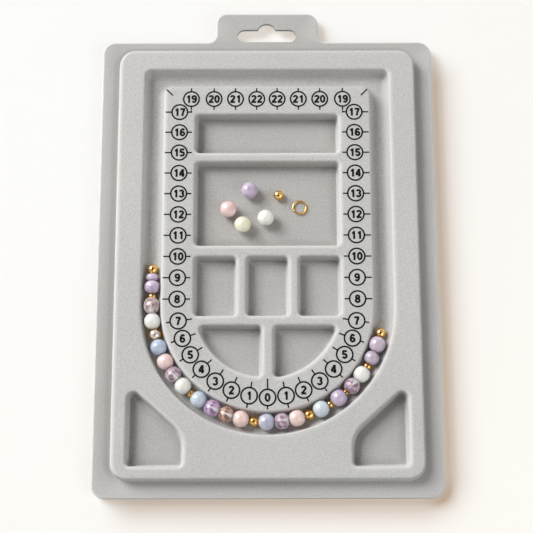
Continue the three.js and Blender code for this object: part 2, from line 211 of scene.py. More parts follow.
def flockMaterial():
    look = flockLook
    material, tree, surface, place = newMaterial("greyFlock")
    grain = useGroup(fineGrain, place, {"Grains per metre": look["grains"]})
    blotch = addNode(tree, "ShaderNodeTexNoise", {"Vector": place, "Scale": look["blotches"]})
    pile = mixColor(grain["Value"], look["dark"], look["pale"])
    uneven = spread(blotch.outputs["Fac"], *look["blotchTone"], *look["blotchRange"])
    toned = addNode(tree, "ShaderNodeVectorMath", {0: pile, "Scale": uneven}, operation="SCALE")
    # painted shade: the pile is darkened by the shade attribute; painted highlight: it is made paler by the
    # highlight attribute
    shaded = mixColor(painted(tree, "pressed"), toned.outputs[0], look["pressed"], "MULTIPLY")
    highlightShare = times(painted(tree, "paintedHighlight"), look["highlightShare"])
    bump = addNode(tree, "ShaderNodeBump", {
        "Strength": look["bump"], "Distance": look["bumpReach"] * mm, "Height": grain["Height"]})
    fillAll(surface, {
        "Base Color": mixColor(highlightShare, shaded, look["paintedHighlight"]), "Normal": bump,
        "Roughness": spread(grain["Value"], *look["rough"]), "Specular IOR Level": look["gloss"],
        "Sheen Weight": look["sheen"], "Sheen Roughness": look["sheenRough"]})
    return material


# the tray's sizes in millimetres, the same as the solid's; a form is (rim, foot, draft in degrees)
tray = {
    "width": 157.4, "length": 216.6, "corner": 6.0, "tabWidth": 48.8, "tabLength": 14.8, "tabCorner": 5.0,
    "tabFillet": 4.0, "slotWidth": 28.0, "slotHeight": 6.4, "slotEndFlat": 0.1, "humpRadius": 4.6,
    "humpRise": 1.7, "sheet": 1.8, "edgeHeight": 5.3, "edgeRound": 0.9, "rise": 6.0, "channelDepth": 6.3,
    "pocketDepth": 6.7,
    "sideFlange": 9.9, "backFlange": 7.6, "frontFlange": 9.0, "plateauCorner": 6.5, "sideLand": 10.3,
    "topLand": 8.0, "frontLand": 17.6, "channelWidth": 10.9, "topChannelWidth": 10.3, "channelCorner": 4.0,
    "islandCorner": 3.0, "frontWiden": 1.1, "labelBand": 12.95, "topLabelBand": 12.0, "rib": 2.3,
    "wideRib": 3.0,
    "pocketCorner": 3.2, "wideLength": 21.0, "largeLength": 42.4, "quarterDrop": 8.3, "quarterBand": 13.35,
    "cornerSide": 4.7, "cornerFront": 3.6, "cornerWidth": 27.5, "cornerLand": 8.2, "cornerAngle": 228.0,
    "cornerTip": 4.2, "cornerBulge": 14.0, "wallHighlight": 0.45,
    "channelForm": (1.0, 3.4, 8.0), "pocketForm": (1.1, 0.5, 8.0), "skirtForm": (0.9, 0.4, 6.0),
    "cornerSteps": 10, "archSteps": 96, "arcSteps": 28, "filletSteps": 6, "leastRound": 0.25,
    "sameSpot": 1e-7,
}
plateauTop = tray["edgeHeight"] + tray["rise"]
backEdge = tray["length"] / 2 - tray["tabLength"] / 2
frontEdge = backEdge - tray["length"]
plateauHalf = tray["width"] / 2 - tray["sideFlange"]
plateauBack = backEdge - tray["backFlange"]
plateauFront = frontEdge + tray["frontFlange"]
basinHalf = plateauHalf - tray["sideLand"]
basinBack = plateauBack - tray["topLand"]
basinMiddle = plateauFront + tray["frontLand"] + basinHalf
islandHalf = basinHalf - tray["channelWidth"]
islandBack = basinBack - tray["topChannelWidth"]
islandMiddle = basinMiddle + tray["frontWiden"]
pocketHalf = islandHalf - tray["labelBand"]
wideBack = islandBack - tray["topLabelBand"]
wideFront = wideBack - tray["wideLength"]
largeBack = wideFront - tray["rib"]
largeFront = largeBack - tray["largeLength"]
quarterBack = islandMiddle - tray["quarterDrop"]
smallBack = largeFront - tray["wideRib"]
smallFront = quarterBack + tray["rib"]
smallWidth = (2 * pocketHalf - 2 * tray["rib"]) / 3


def ovalPoints(middle, wide, high, start, end, steps):
    turns = [start + (end - start) * k / steps for k in range(steps + 1)]
    return [Vector((middle[0] + wide * cos(turn), middle[1] + high * sin(turn))) for turn in turns]


def arcPoints(middle, radius, start, end, steps):
    return ovalPoints(middle, radius, radius, start, end, steps)


def arcPath(*arcs):
    return [point for arc in arcs for point in arcPoints(*arc)]


# a polygon with rounded corners, moved inwards; corners are (x, y, round) and run anticlockwise
def roundedOutline(corners, inset):
    edges = []
    for corner, after in zip(corners, corners[1:] + corners[:1]):
        way = Vector((after[0] - corner[0], after[1] - corner[1])).normalized()
        edges.append((Vector(corner[:2]) + Vector((-way.y, way.x)) * inset, way))
    points = []
    for i, corner in enumerate(corners):
        beforeFrom, beforeWay = edges[i - 1]
        afterFrom, afterWay = edges[i]
        turn = beforeWay.cross(afterWay)
        tip = beforeFrom + beforeWay * ((afterFrom - beforeFrom).cross(afterWay) / turn)
        side = 1 if turn > 0 else -1
        angle = atan2(turn, beforeWay.dot(afterWay))
        radius = max(corner[2] - side * inset, tray["leastRound"])
        start = tip - beforeWay * (radius * tan(abs(angle) / 2))
        middle = start + Vector((-beforeWay.y, beforeWay.x)) * (side * radius)
        first = atan2(start.y - middle.y, start.x - middle.x)
        points += arcPoints(middle, radius, first, first + angle, tray["cornerSteps"])
    return points


def boxOutline(left, right, front, back, corner=tray["pocketCorner"]):
    corners = [(left, front, corner), (right, front, corner), (right, back, corner), (left, back, corner)]
    return lambda inset: roundedOutline(corners, inset)


def archOutline(half, back, middle, corner):
    def outline(inset):
        reach = half - inset
        bend = max(corner - inset, tray["leastRound"])
        top = back - inset - bend
        steps = tray["cornerSteps"]
        return arcPath(
            ((reach - bend, top), bend, 0, pi / 2, steps), ((bend - reach, top), bend, pi / 2, pi, steps),
            ((0, middle), reach, pi, 2 * pi, tray["archSteps"]))
    return outline


def mirrored(outline):
    return lambda inset: [Vector((-p.x, p.y)) for p in reversed(outline(inset))]


def boardOutline(inset):
    halfBoard, halfTab, tabBack = tray["width"] / 2, tray["tabWidth"] / 2, backEdge + tray["tabLength"]
    corner, fillet, tip = tray["corner"], tray["tabFillet"], tray["tabCorner"]
    return roundedOutline(
        [(-halfBoard, frontEdge, corner), (halfBoard, frontEdge, corner), (halfBoard, backEdge, corner),
         (halfTab, backEdge, fillet), (halfTab, tabBack, tip), (-halfTab, tabBack, tip),
         (-halfTab, backEdge, fillet), (-halfBoard, backEdge, corner)],
        inset,
    )


# straight at the back and beside the middle rib, round along the island's front
def leftQuarter(inset):
    bend = max(tray["pocketCorner"] - inset, tray["leastRound"])
    reach = islandHalf - tray["quarterBand"] - inset
    inner = reach - bend
    leftY = quarterBack - inset - bend
    leftX = -sqrt(inner ** 2 - (leftY - islandMiddle) ** 2)
    lowX = -tray["wideRib"] / 2 - inset - bend
    lowY = islandMiddle - sqrt(inner ** 2 - lowX ** 2)
    leftAngle = atan2(leftY - islandMiddle, leftX) % (2 * pi)
    lowAngle = atan2(lowY - islandMiddle, lowX) % (2 * pi)
    steps = tray["cornerSteps"]
    points = arcPoints((leftX, leftY), bend, pi / 2, leftAngle, steps)
    points += arcPoints((0, islandMiddle), reach, leftAngle, lowAngle, tray["arcSteps"])[1:-1]
    points += arcPoints((lowX, lowY), bend, lowAngle, 2 * pi, steps)
    return points + arcPoints((lowX, leftY), bend, 0, pi / 2, steps)


# its slanting side lies along the channel, a land away from it
def leftCorner(inset):
    left = tray["cornerSide"] - plateauHalf
    right = left + tray["cornerWidth"]
    front = plateauFront + tray["cornerFront"]
    slant = radians(tray["cornerAngle"])
    away = basinHalf + tray["cornerLand"]

    def slantAt(x):
        return basinMiddle + (away - x * cos(slant)) / sin(slant)
    return roundedOutline(
        [(left, front, tray["pocketCorner"]), (right, front, tray["pocketCorner"]),
         (right, slantAt(right), tray["cornerBulge"]), (left, slantAt(left), tray["cornerTip"])],
        inset,
    )


def slotOutline():
    half, height, hump = tray["slotWidth"] / 2, tray["slotHeight"], tray["humpRadius"]
    end = (height - tray["slotEndFlat"]) / 2
    top = backEdge + height
    humpMiddle = backEdge + height / 2 + tray["humpRise"]
    lift = asin((top - humpMiddle) / hump)
    steps = tray["cornerSteps"]
    return arcPath(
        ((end - half, backEdge + end), end, pi, 1.5 * pi, steps),
        ((half - end, backEdge + end), end, 1.5 * pi, 2 * pi, steps),
        ((half - end, top - end), end, 0, pi / 2, steps),
        ((0, humpMiddle), hump, lift, pi - lift, 3 * steps),
        ((end - half, top - end), end, pi / 2, pi, steps))


plateauOutline = boxOutline(-plateauHalf, plateauHalf, plateauFront, plateauBack, tray["plateauCorner"])
basinOutline = archOutline(basinHalf, basinBack, basinMiddle, tray["channelCorner"])
islandOutline = archOutline(islandHalf, islandBack, islandMiddle, tray["islandCorner"])
islandPockets = [
    boxOutline(-pocketHalf, pocketHalf, wideFront, wideBack),
    boxOutline(-pocketHalf, pocketHalf, largeFront, largeBack),
    boxOutline(-pocketHalf, smallWidth - pocketHalf, smallFront, smallBack),
    boxOutline(-smallWidth / 2, smallWidth / 2, smallFront, smallBack),
    boxOutline(pocketHalf - smallWidth, pocketHalf, smallFront, smallBack),
    leftQuarter, mirrored(leftQuarter),
]
cornerPockets = [leftCorner, mirrored(leftCorner)]
smallPockets = range(2, len(islandPockets))


# a formed wall from its rim down, as (run, drop, painted highlight)
def faceProfile(form, depth):
    rim, foot, draft = form[0], form[1], radians(form[2])
    lean = pi / 2 - draft
    straight = depth - (rim + foot) * (1 - sin(draft))
    total = (rim + foot) * cos(draft) + straight * tan(draft)
    steps, wallHighlight = tray["filletSteps"], tray["wallHighlight"]
    points = []
    for k in range(steps + 1):
        angle = lean * k / steps
        points.append((rim * sin(angle), rim * (1 - cos(angle)), 1 - wallHighlight * (k / steps) ** 2))
    for k in range(steps + 1):
        angle = lean * (1 - k / steps)
        run, drop = total - foot * sin(angle), depth - foot * (1 - cos(angle))
        points.append((run, drop, (1 - wallHighlight) * (1 - k / steps)))
    return points


# the same wall one sheet below, from the plateau's underside down, as (run, drop)
def underProfile(form, depth):
    rim, foot, draft = form[0], form[1], radians(form[2])
    total = faceProfile(form, depth)[-1][0]
    sheet, steps = tray["sheet"], tray["filletSteps"]
    startRun = rim * cos(draft) + tan(draft) * (sheet - rim * (1 - sin(draft)))
    points = [(startRun - sheet / cos(draft), sheet)]
    for k in range(steps + 1):
        angle = (pi / 2 - draft) * (1 - k / steps)
        points.append((total - (foot + sheet) * sin(angle), depth - foot + (foot + sheet) * cos(angle)))
    return points


# the tray's skin is gathered here before it becomes a mesh
skin = {"points": [], "faces": [], "smooth": [], "pressed": [], "paintedHighlight": []}


# the share of painted shade or painted highlight at one point of an outline, from the share given for each of
# the four sides, which light falls on differently
def sideShare(outline, i, shadeSides):
    along = (outline[(i + 1) % len(outline)] - outline[i - 1]).normalized()
    right, back = along.y, -along.x
    across = right ** 2 * shadeSides["right" if right > 0 else "left"]
    return across + back ** 2 * shadeSides["back" if back > 0 else "front"]


# a ring of the skin, with its painted shade and painted highlight, scaled by side when side shares are given
def addRing(outline, height, pressed=0.0, paintedHighlight=0.0, shadeSides=None, highlightSides=None):
    first = len(skin["points"])
    for i, point in enumerate(outline):
        skin["points"].append((point.x, point.y, height))
        skin["pressed"].append(pressed * sideShare(outline, i, shadeSides) if shadeSides else pressed)
        skin["paintedHighlight"].append(paintedHighlight * sideShare(outline, i, highlightSides) if highlightSides else paintedHighlight)
    return list(range(first, len(skin["points"])))


def addWall(rings):
    for low, high in zip(rings, rings[1:]):
        count = len(low)
        for i in range(count):
            j = (i + 1) % count
            skin["faces"].append((low[i], low[j], high[j], high[i]))
            skin["smooth"].append(True)


def holds(ring, x, y):
    inside = False
    for i, vertex in enumerate(ring):
        x1, y1, _ = skin["points"][vertex]
        x2, y2, _ = skin["points"][ring[i - 1]]
        if (y1 > y) != (y2 > y) and x < (x2 - x1) * (y - y1) / (y2 - y1) + x1:
            inside = not inside
    return inside


# fills a level between an outer ring and the rings of its holes
def addFlat(outer, holes=()):
    coords, edges, owner = [], [], []
    for ring in (outer, *holes):
        first = len(coords)
        for i, vertex in enumerate(ring):
            coords.append(Vector(skin["points"][vertex][:2]))
            edges.append((first + i, first + (i + 1) % len(ring)))
            owner.append(vertex)
    _, _, triangles, sources, _, _ = delaunay_2d_cdt(coords, edges, [], 0, tray["sameSpot"])
    source = [owner[same[0]] for same in sources]
    for triangle in triangles:
        corners = [source[i] for i in triangle]
        x, y = (sum(skin["points"][c][axis] for c in corners) / 3 for axis in (0, 1))
        if holds(outer, x, y) and not any(holds(hole, x, y) for hole in holes):
            skin["faces"].append(tuple(corners))
            skin["smooth"].append(False)


# painted shade on each wall and its foot, and painted highlight on the rims, given for each side, since light
# falls on each side differently
def sides(left, right, back, front):
    return {"left": left, "right": right, "back": back, "front": front}


plain = sides(0.0, 0.0, 0.0, 0.0)
pocketLightAndShade = {
    "wall": sides(0.0, 0.0, 1.0, 0.0), "fade": ((1.2, 1.0), (4.0, 1.0)), "highlightSides": sides(0.0, 0.6, 0.0, 0.5),
    "highlightReach": 0.9,
}
pressedPile = {
    "flange": sides(0.15, 0.0, 0.45, 0.0), "under": 0.8, "wallStart": 0.3,
    "skirt": {
        "wall": sides(0.2, 0.0, 0.1, 0.0), "foot": sides(1.3, 0.3, 1.1, 0.0),
        "fade": ((1.0, 1.0), (3.2, 0.45)), "highlightSides": sides(0.8, 0.0, 0.3, 0.0), "highlightReach": 1.3,
    },
    "basin": {"wall": plain, "foot": plain, "fade": (), "highlightSides": sides(0.0, 0.6, 0.0, 0.3), "highlightReach": 1.3},
    "island": {"wall": plain, "foot": plain, "fade": (), "highlightSides": sides(0.8, 0.1, 0.1, 0.1), "highlightReach": 1.3},
    "wide": {**pocketLightAndShade, "foot": sides(1.5, 0.8, 0.5, 0.7), "floor": 0.42},
    "small": {**pocketLightAndShade, "foot": sides(0.7, 0.4, 0.0, 0.3), "floor": 0.34},
}


# a wall of the face, with rings past its foot where the painted shade fades out; a compartment's floor ends
# in an even painted shade
def faceWall(outline, form, depth, outwards, kind):
    pile = pressedPile[kind]
    away = -1 if outwards else 1
    rings = [addRing(outline(-away * pile["highlightReach"]), plateauTop)]
    profile = faceProfile(form, depth)
    # each ring down the wall gets more painted shade, up to the full share at the foot, and the rim rings get
    # painted highlight
    for k, (run, drop, paintedHighlight) in enumerate(profile):
        last = k == len(profile) - 1
        shaded = 1.0 if last else min(1.0, drop / depth / pressedPile["wallStart"])
        shadeSides = pile["foot" if last else "wall"]
        rings.append(addRing(outline(away * run), plateauTop - drop, shaded, paintedHighlight, shadeSides, pile["highlightSides"]))
    for k, (past, pressed) in enumerate(pile["fade"]):
        even = "floor" in pile and k == len(pile["fade"]) - 1
        shaded, shadeSides = (pile["floor"], None) if even else (pressed, pile["foot"])
        rings.append(addRing(outline(away * (profile[-1][0] + past)), plateauTop - depth, shaded, 0.0, shadeSides))
    addWall(rings)
    return rings[0], rings[-1]


def underWall(outline, form, depth, outwards, kind):
    away = -1 if outwards else 1
    rings = []
    for run, drop in underProfile(form, depth):
        rings.append(addRing(outline(away * run), plateauTop - drop, pressedPile["under"]))
    addWall(rings)
    return rings[0], rings[-1]


# one side of the formed sheet inside the flange; gives the ring that the flange starts from
def formSheet(wall):
    channel, deep = tray["channelForm"], tray["channelDepth"]
    plateauRim, plateauFoot = wall(plateauOutline, tray["skirtForm"], tray["rise"], True, "skirt")
    basinRim, basinFoot = wall(basinOutline, channel, deep, False, "basin")
    islandRim, islandFoot = wall(islandOutline, channel, deep, True, "island")
    rims = []
    for k, outline in enumerate(islandPockets + cornerPockets):
        kind = "small" if k in smallPockets else "wide"
        rim, foot = wall(outline, tray["pocketForm"], tray["pocketDepth"], False, kind)
        addFlat(foot)
        rims.append(rim)
    addFlat(plateauRim, [basinRim] + rims[len(islandPockets):])
    addFlat(basinFoot, [islandFoot])
    addFlat(islandRim, rims[:len(islandPockets)])
    return plateauFoot


def buildTray():
    # painted shade on the flange, given by side, and an even painted shade under the sheet
    pressed, under = pressedPile["flange"], pressedPile["under"]
    faceFoot = formSheet(faceWall)
    underFoot = formSheet(underWall)
    underLevel = tray["edgeHeight"] - tray["sheet"]
    # the board's rounded edge: full painted shade set by the flange's side shares, and a painted highlight
    # along the middle of the rounding
    edge = [addRing(boardOutline(0), 0.0, 1.0, 0.0, pressed)]
    for k in range(tray["filletSteps"] + 1):
        angle = pi / 2 * k / tray["filletSteps"]
        height = tray["edgeHeight"] - tray["edgeRound"] * (1 - sin(angle))
        inset = tray["edgeRound"] * (1 - cos(angle))
        edge.append(addRing(boardOutline(inset), height, 1.0, sin(2 * angle), pressed))
    addWall(edge)
    # the lip, the underside and the slot's walls carry painted shade as well
    lip = [edge[0]] + [addRing(boardOutline(tray["sheet"]), level, under) for level in (0.0, underLevel)]
    addWall(lip)
    slotLevels = ((tray["edgeHeight"], pressed["back"]), (underLevel, under))
    slot = [addRing(slotOutline(), level, shaded) for level, shaded in slotLevels]
    addWall(slot)
    addFlat(edge[-1], [faceFoot, slot[0]])
    addFlat(lip[-1], [underFoot, slot[1]])
    mesh = bpy.data.meshes.new("traySkin")
    mesh.from_pydata([Vector(p) * mm for p in skin["points"]], [], skin["faces"])
    mesh.polygons.foreach_set("use_smooth", skin["smooth"])
    # the painted shade and painted highlight go onto the mesh as point attributes, for the material
    for label in ("pressed", "paintedHighlight"):
        mesh.attributes.new(label, "FLOAT", "POINT").data.foreach_set("value", skin[label])
    work = bmesh.new()
    work.from_mesh(mesh)
    bmesh.ops.recalc_face_normals(work, faces=work.faces)
    openEdges = sum(1 for e in work.edges if not e.is_manifold)
    work.to_mesh(mesh)
    work.free()
    mesh.materials.append(flockMaterial())
    piece = addObject("traySkin", mesh)
    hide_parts("tray")
    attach(piece, "board")
    print("tray skin,", len(mesh.polygons), "faces,", openEdges, "open edges")


buildTray()


# the printed scale: rings, ticks and numbers in black ink on the island, in millimetres
scale = {
    "ringRadius": 3.65, "around": 56, "line": 0.78, "stroke": 0.66, "ink": 0.04,
    "arcMiddle": -30.8, "arcRadius": 40.85, "arcTurn": 11.64, "arcLast": 7, "arcOut": 1.95, "arcIn": 2.7,
    "zeroOut": 1.7, "zeroIn": 4.8,
    "columnX": 41.0, "columnTop": 63.07, "columnLast": 17, "pitch": 9.98, "outTick": 3.0, "inTick": 2.25,
    "rowY": 69.57, "rowX": (4.8, 14.8, 24.9, 35.6), "rowNumbers": (22, 21, 20, 19), "rowTick": 1.75,
    "cornerTick": (44.3, 71.35, 4.3), "elbowTick": 1.2,
    "digitHeight": 3.8, "digitStroke": 0.26, "digitStep": 0.72, "digitSteps": 28,
}
inkLook = {
    "deep": paint(6, 6, 7), "thin": paint(26, 25, 25), "grains": 3000.0, "rough": (0.55, 0.8), "gloss": 0.25,
}


def inkMaterial():
    look = inkLook
    material, _, surface, place = newMaterial("blackInk")
    grain = useGroup(fineGrain, place, {"Grains per metre": look["grains"]})
    fillAll(surface, {
        "Base Color": mixColor(grain["Value"], look["deep"], look["thin"]),
        "Roughness": spread(grain["Value"], *look["rough"]), "Specular IOR Level": look["gloss"]})
    return material


# each mark is (x, y, outward angle, number, outer tick, inner tick)
def scaleMarks():
    middle, radius, last = scale["arcMiddle"], scale["arcRadius"], scale["columnLast"]
    marks = [(0.0, middle - radius, -pi / 2, 0, scale["zeroOut"], scale["zeroIn"])]
    for side in (-1, 1):
        for number in range(1, scale["arcLast"] + 1):
            turn = radians(scale["arcTurn"] * number)
            x, y = side * radius * sin(turn), middle - radius * cos(turn)
            marks.append((x, y, atan2(y - middle, x), number, scale["arcOut"], scale["arcIn"]))
        for number in range(scale["arcLast"] + 1, last + 1):
            y = scale["columnTop"] - (last - number) * scale["pitch"]
            out = 0.0 if side > 0 else pi
            inner = 0.0 if number == last else scale["inTick"]
            marks.append((side * scale["columnX"], y, out, number, scale["outTick"], inner))
        for number, x in zip(scale["rowNumbers"], scale["rowX"]):
            marks.append((side * x, scale["rowY"], pi / 2, number, scale["rowTick"], scale["rowTick"]))
    return marks


# straight strokes as (x, y, angle, length)
def scaleStrokes(marks):
    strokes = []
    radius = scale["ringRadius"]
    for x, y, out, _, outer, inner in marks:
        for angle, length in ((out, outer), (out + pi, inner)):
            if length:
                strokes.append((x + radius * cos(angle), y + radius * sin(angle), angle, length))
    tickX, tickY, tickLength = scale["cornerTick"]
    columnEdge, top, elbowX = scale["columnX"] - radius, scale["columnTop"], scale["rowX"][-1]
    for side in (-1, 1):
        strokes.append((side * tickX, tickY, pi / 2 - side * pi / 4, tickLength))
        strokes.append((side * columnEdge, top, pi if side > 0 else 0.0, columnEdge - elbowX))
        strokes.append((side * elbowX, top - scale["line"] / 2, pi / 2, scale["elbowTick"]))
    return strokes


# every geometry tree ends this way
def endTree(shape, given, made):
    whole = addNode(shape.id_data, "GeometryNodeRealizeInstances", {0: shape})
    fills = {"Geometry": whole, "Material": given["Material"]}
    fill(made["Geometry"], addNode(shape.id_data, "GeometryNodeSetMaterial", fills))


def gridNode(tree, wide, high, columns, rows):
    return addNode(tree, "GeometryNodeMeshGrid", {
        "Size X": wide, "Size Y": high, "Vertices X": columns, "Vertices Y": rows})


def weld(tree, shape):
    return addNode(tree, "GeometryNodeMergeByDistance", {"Geometry": shape, "Distance": weldReach})


# a point with a length gets a stroke, and one without gets a ring
def stampTree():
    tree, given, made = newGroup(
        "scaleStamp", "GeometryNodeTree",
        [("Points", "Geometry", None), ("Ring Radius", "Float", 0.003), ("Line", "Float", 0.0005),
         ("Stroke", "Float", 0.0005), ("Ink", "Float", 0.00004), ("Around", "Int", 56),
         ("Material", "Material", None)],
        [("Geometry", "Geometry")],
    )

    def stored(name):
        item = addNode(tree, "GeometryNodeInputNamedAttribute", {"Name": name}, data_type="FLOAT")
        return item.outputs["Attribute"]
    length = stored("length")
    isStroke = addNode(tree, "FunctionNodeCompare", {"A": length, "B": weldReach}, data_type="FLOAT",
                       operation="GREATER_THAN")
    isRing = addNode(tree, "FunctionNodeBooleanMath", {0: isStroke}, operation="NOT")
    # a strip of two rows bent round into the ring
    strip = gridNode(tree, 1.0, 1.0, mathNode("ADD", given["Around"], 1), 2)
    spot = parts(addNode(tree, "GeometryNodeInputPosition"))
    angle = times(spot["X"], -2 * pi)
    reach = mathNode("ADD", given["Ring Radius"], times(spot["Y"], given["Line"]))
    bent = vectorNode(tree, times(reach, mathNode("COSINE", angle)), times(reach, mathNode("SINE", angle)))
    ring = weld(tree, addNode(tree, "GeometryNodeSetPosition", {"Geometry": strip, "Position": bent}))
    # a stroke one unit long that starts at its own point
    bar = addNode(tree, "GeometryNodeTransform", {
        "Geometry": gridNode(tree, 1.0, given["Stroke"], 2, 2), "Translation": (0.5, 0, 0)})
    lie = vectorNode(tree, z=stored("turn"))
    stretch = vectorNode(tree, length, 1.0, 1.0)
    join = addNode(tree, "GeometryNodeJoinGeometry")
    for flat, chosen, laid in ((ring, isRing, {}), (bar, isStroke, {"Rotation": lie, "Scale": stretch})):
        raised = addNode(tree, "GeometryNodeExtrudeMesh", {
            "Mesh": flat, "Offset Scale": given["Ink"], "Individual": False}, mode="FACES")
        slab = addNode(tree, "GeometryNodeJoinGeometry")
        for layer in (raised, addNode(tree, "GeometryNodeFlipFaces", {"Mesh": flat})):
            fill(slab.inputs[0], layer)
        fill(join.inputs[0], addNode(tree, "GeometryNodeInstanceOnPoints", {
            "Points": given["Points"], "Instance": weld(tree, slab), "Selection": chosen, **laid}))
    endTree(join, given, made)
    return tree


# runs a tree on a holder object and gives the plain mesh back
def runTree(tree, holder, values):
    maker = addObject("maker", holder)
    modifier = maker.modifiers.new("make", "NODES")
    modifier.node_group = tree
    for item in tree.interface.items_tree:
        if item.in_out == "INPUT" and item.name in values:
            modifier[item.identifier] = values[item.name]
    depsgraph = bpy.context.evaluated_depsgraph_get()
    mesh = bpy.data.meshes.new_from_object(maker.evaluated_get(depsgraph))
    maker.modifiers.clear()
    bpy.data.objects.remove(maker)
    return mesh


# strokes of each digit on a box one high, as lines or as arcs (middle, reach, from, to)
digitStrokes = {
    "0": [("arc", (0, 0.5), (0.225, 0.4), 0, 360)],
    "1": [("line", [(0.08, 0), (0.08, 1)]), ("line", [(-0.17, 0.72), (-0.02, 0.78), (0.08, 0.92)])],
    "2": [("arc", (0, 0.7), (0.215, 0.2), 170, -38), ("line", [(0.17, 0.577), (-0.19, 0.13)]),
          ("line", [(-0.31, 0.1), (0.3, 0.1)])],
    "3": [("arc", (-0.01, 0.715), (0.2, 0.185), 165, -90), ("arc", (-0.01, 0.315), (0.225, 0.215), 90, -165)],
    "4": [("line", [(0.13, 0), (0.13, 1)]), ("line", [(0.1, 0.93), (-0.25, 0.34)]),
          ("line", [(-0.32, 0.29), (0.32, 0.29)])],
    "5": [("line", [(-0.2, 0.9), (0.27, 0.9)]), ("line", [(-0.16, 0.95), (-0.21, 0.47)]),
          ("arc", (-0.01, 0.325), (0.225, 0.225), 138, -160)],
    "6": [("arc", (0.01, 0.31), (0.22, 0.21), 0, 360), ("arc", (0.03, 0.47), (0.24, 0.43), 40, 196)],
    "7": [("line", [(-0.29, 0.9), (0.3, 0.9)]), ("line", [(0.24, 0.87), (0.05, 0.5), (-0.05, 0)])],
    "8": [("arc", (0, 0.72), (0.19, 0.18), 0, 360), ("arc", (0, 0.305), (0.225, 0.205), 0, 360)],
    "9": [("arc", (-0.01, 0.69), (0.22, 0.21), 0, 360), ("arc", (-0.03, 0.53), (0.24, 0.43), 220, 376)],
}


def strokePoints(stroke):
    if stroke[0] == "line":
        return [Vector(p) for p in stroke[1]], False
    _, middle, reach, start, end = stroke
    points = ovalPoints(middle, *reach, radians(start), radians(end), scale["digitSteps"])
    closed = abs(end - start) == 360
    return points[:-1] if closed else points, closed


# a flat closed band of ink along a stroke
def inkBand(work, points, closed, place, grow):
    last = len(points) - 1
    rows = []
    for i, point in enumerate(points):
        if closed:
            before, after = points[i - 1], points[(i + 1) % len(points)]
        else:
            before, after = points[max(i - 1, 0)], points[min(i + 1, last)]
        way = (after - before).normalized()
        side = Vector((-way.y, way.x)) * (scale["digitStroke"] / 2)
        row = []
        for spot in (point + side, point - side):
            x, y = place[0] + spot.x * grow, place[1] + (spot.y - 0.5) * grow
            for height in (plateauTop, plateauTop + scale["ink"]):
                row.append(work.verts.new((x * mm, y * mm, height * mm)))
        rows.append(row)
    nextRows = rows[1:] + rows[:1] if closed else rows[1:]
    for first, second in zip(rows, nextRows):
        for a, b in ((0, 1), (1, 3), (3, 2), (2, 0)):
            work.faces.new((first[b], second[b], second[a], first[a]))
    if not closed:
        work.faces.new([rows[0][i] for i in (2, 3, 1, 0)])
        work.faces.new([rows[-1][i] for i in (0, 1, 3, 2)])


def inkNumber(work, text, x, y):
    grow = scale["digitHeight"]
    for i, digit in enumerate(text):
        shift = (i - (len(text) - 1) / 2) * scale["digitStep"] * grow
        for stroke in digitStrokes[digit]:
            inkBand(work, *strokePoints(stroke), (x + shift, y), grow)


def buildScale():
    blackInk = inkMaterial()
    marks = scaleMarks()
    strokes = scaleStrokes(marks)
    spots = [(x, y, 0.0, 0.0) for x, y, *_ in marks] + strokes
    points = bpy.data.meshes.new("scalePoints")
    points.from_pydata([(x * mm, y * mm, plateauTop * mm) for x, y, _, _ in spots], [], [])
    for label, column, unit in (("turn", 2, 1.0), ("length", 3, mm)):
        layer = points.attributes.new(label, "FLOAT", "POINT")
        layer.data.foreach_set("value", [spot[column] * unit for spot in spots])
    lines = runTree(stampTree(), points, {
        "Ring Radius": scale["ringRadius"] * mm, "Line": scale["line"] * mm, "Stroke": scale["stroke"] * mm,
        "Ink": scale["ink"] * mm, "Around": scale["around"], "Material": blackInk,
    })
    lines.name = "scaleMarks"
    work = bmesh.new()
    for x, y, _, number, _, _ in marks:
        inkNumber(work, str(number), x, y)
    digits = meshFrom(work, "scaleNumbers")
    digits.materials.append(blackInk)
    for name, mesh in (("scaleMarks", lines), ("scaleNumbers", digits)):
        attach(addObject(name, mesh), "board")
    print("scale printed,", len(marks), "marks,", len(strokes), "strokes")


buildScale()


# bead finishes: stones are milky (body, cloud), crystals clear (dark, pale, and a painted rim light), gold
# polished
stoneColours = {
    "lilac": ((191, 175, 200), (208, 197, 215)), "lilac_grey": ((187, 172, 192), (204, 193, 206)),
    "lilac_rose": ((198, 179, 199), (212, 199, 211)), "white": ((248, 240, 229), (253, 248, 241)),
    "cream": ((253, 231, 202), (255, 242, 222)), "pearl": ((238, 231, 222), (249, 244, 237)),
    "blue": ((168, 185, 212), (195, 207, 224)), "blue_light": ((187, 201, 219), (210, 218, 228)),
    "blue_pale": ((199, 213, 222), (215, 226, 233)), "periwinkle": ((182, 183, 205), (204, 205, 218)),
    "pink": ((242, 201, 198), (250, 219, 217)), "peach": ((242, 203, 193), (250, 220, 212)),
}
crystalColours = {
    "crystal_peach": ((150, 119, 125), (240, 214, 214), (255, 226, 216)),
    "crystal_lilac": ((142, 114, 132), (232, 206, 222), (255, 214, 248)),
    "crystal_purple": ((148, 115, 161), (242, 209, 245), (255, 204, 255)),
    "crystal_rose": ((122, 88, 83), (229, 190, 176), (255, 174, 150)),
}
stoneLook = {
    "rough": (0.05, 0.1), "soft": 1.0, "softRadius": (1.0, 0.9, 0.85), "softReach": 5.0, "gloss": 0.9,
    "bend": 1.5,
}
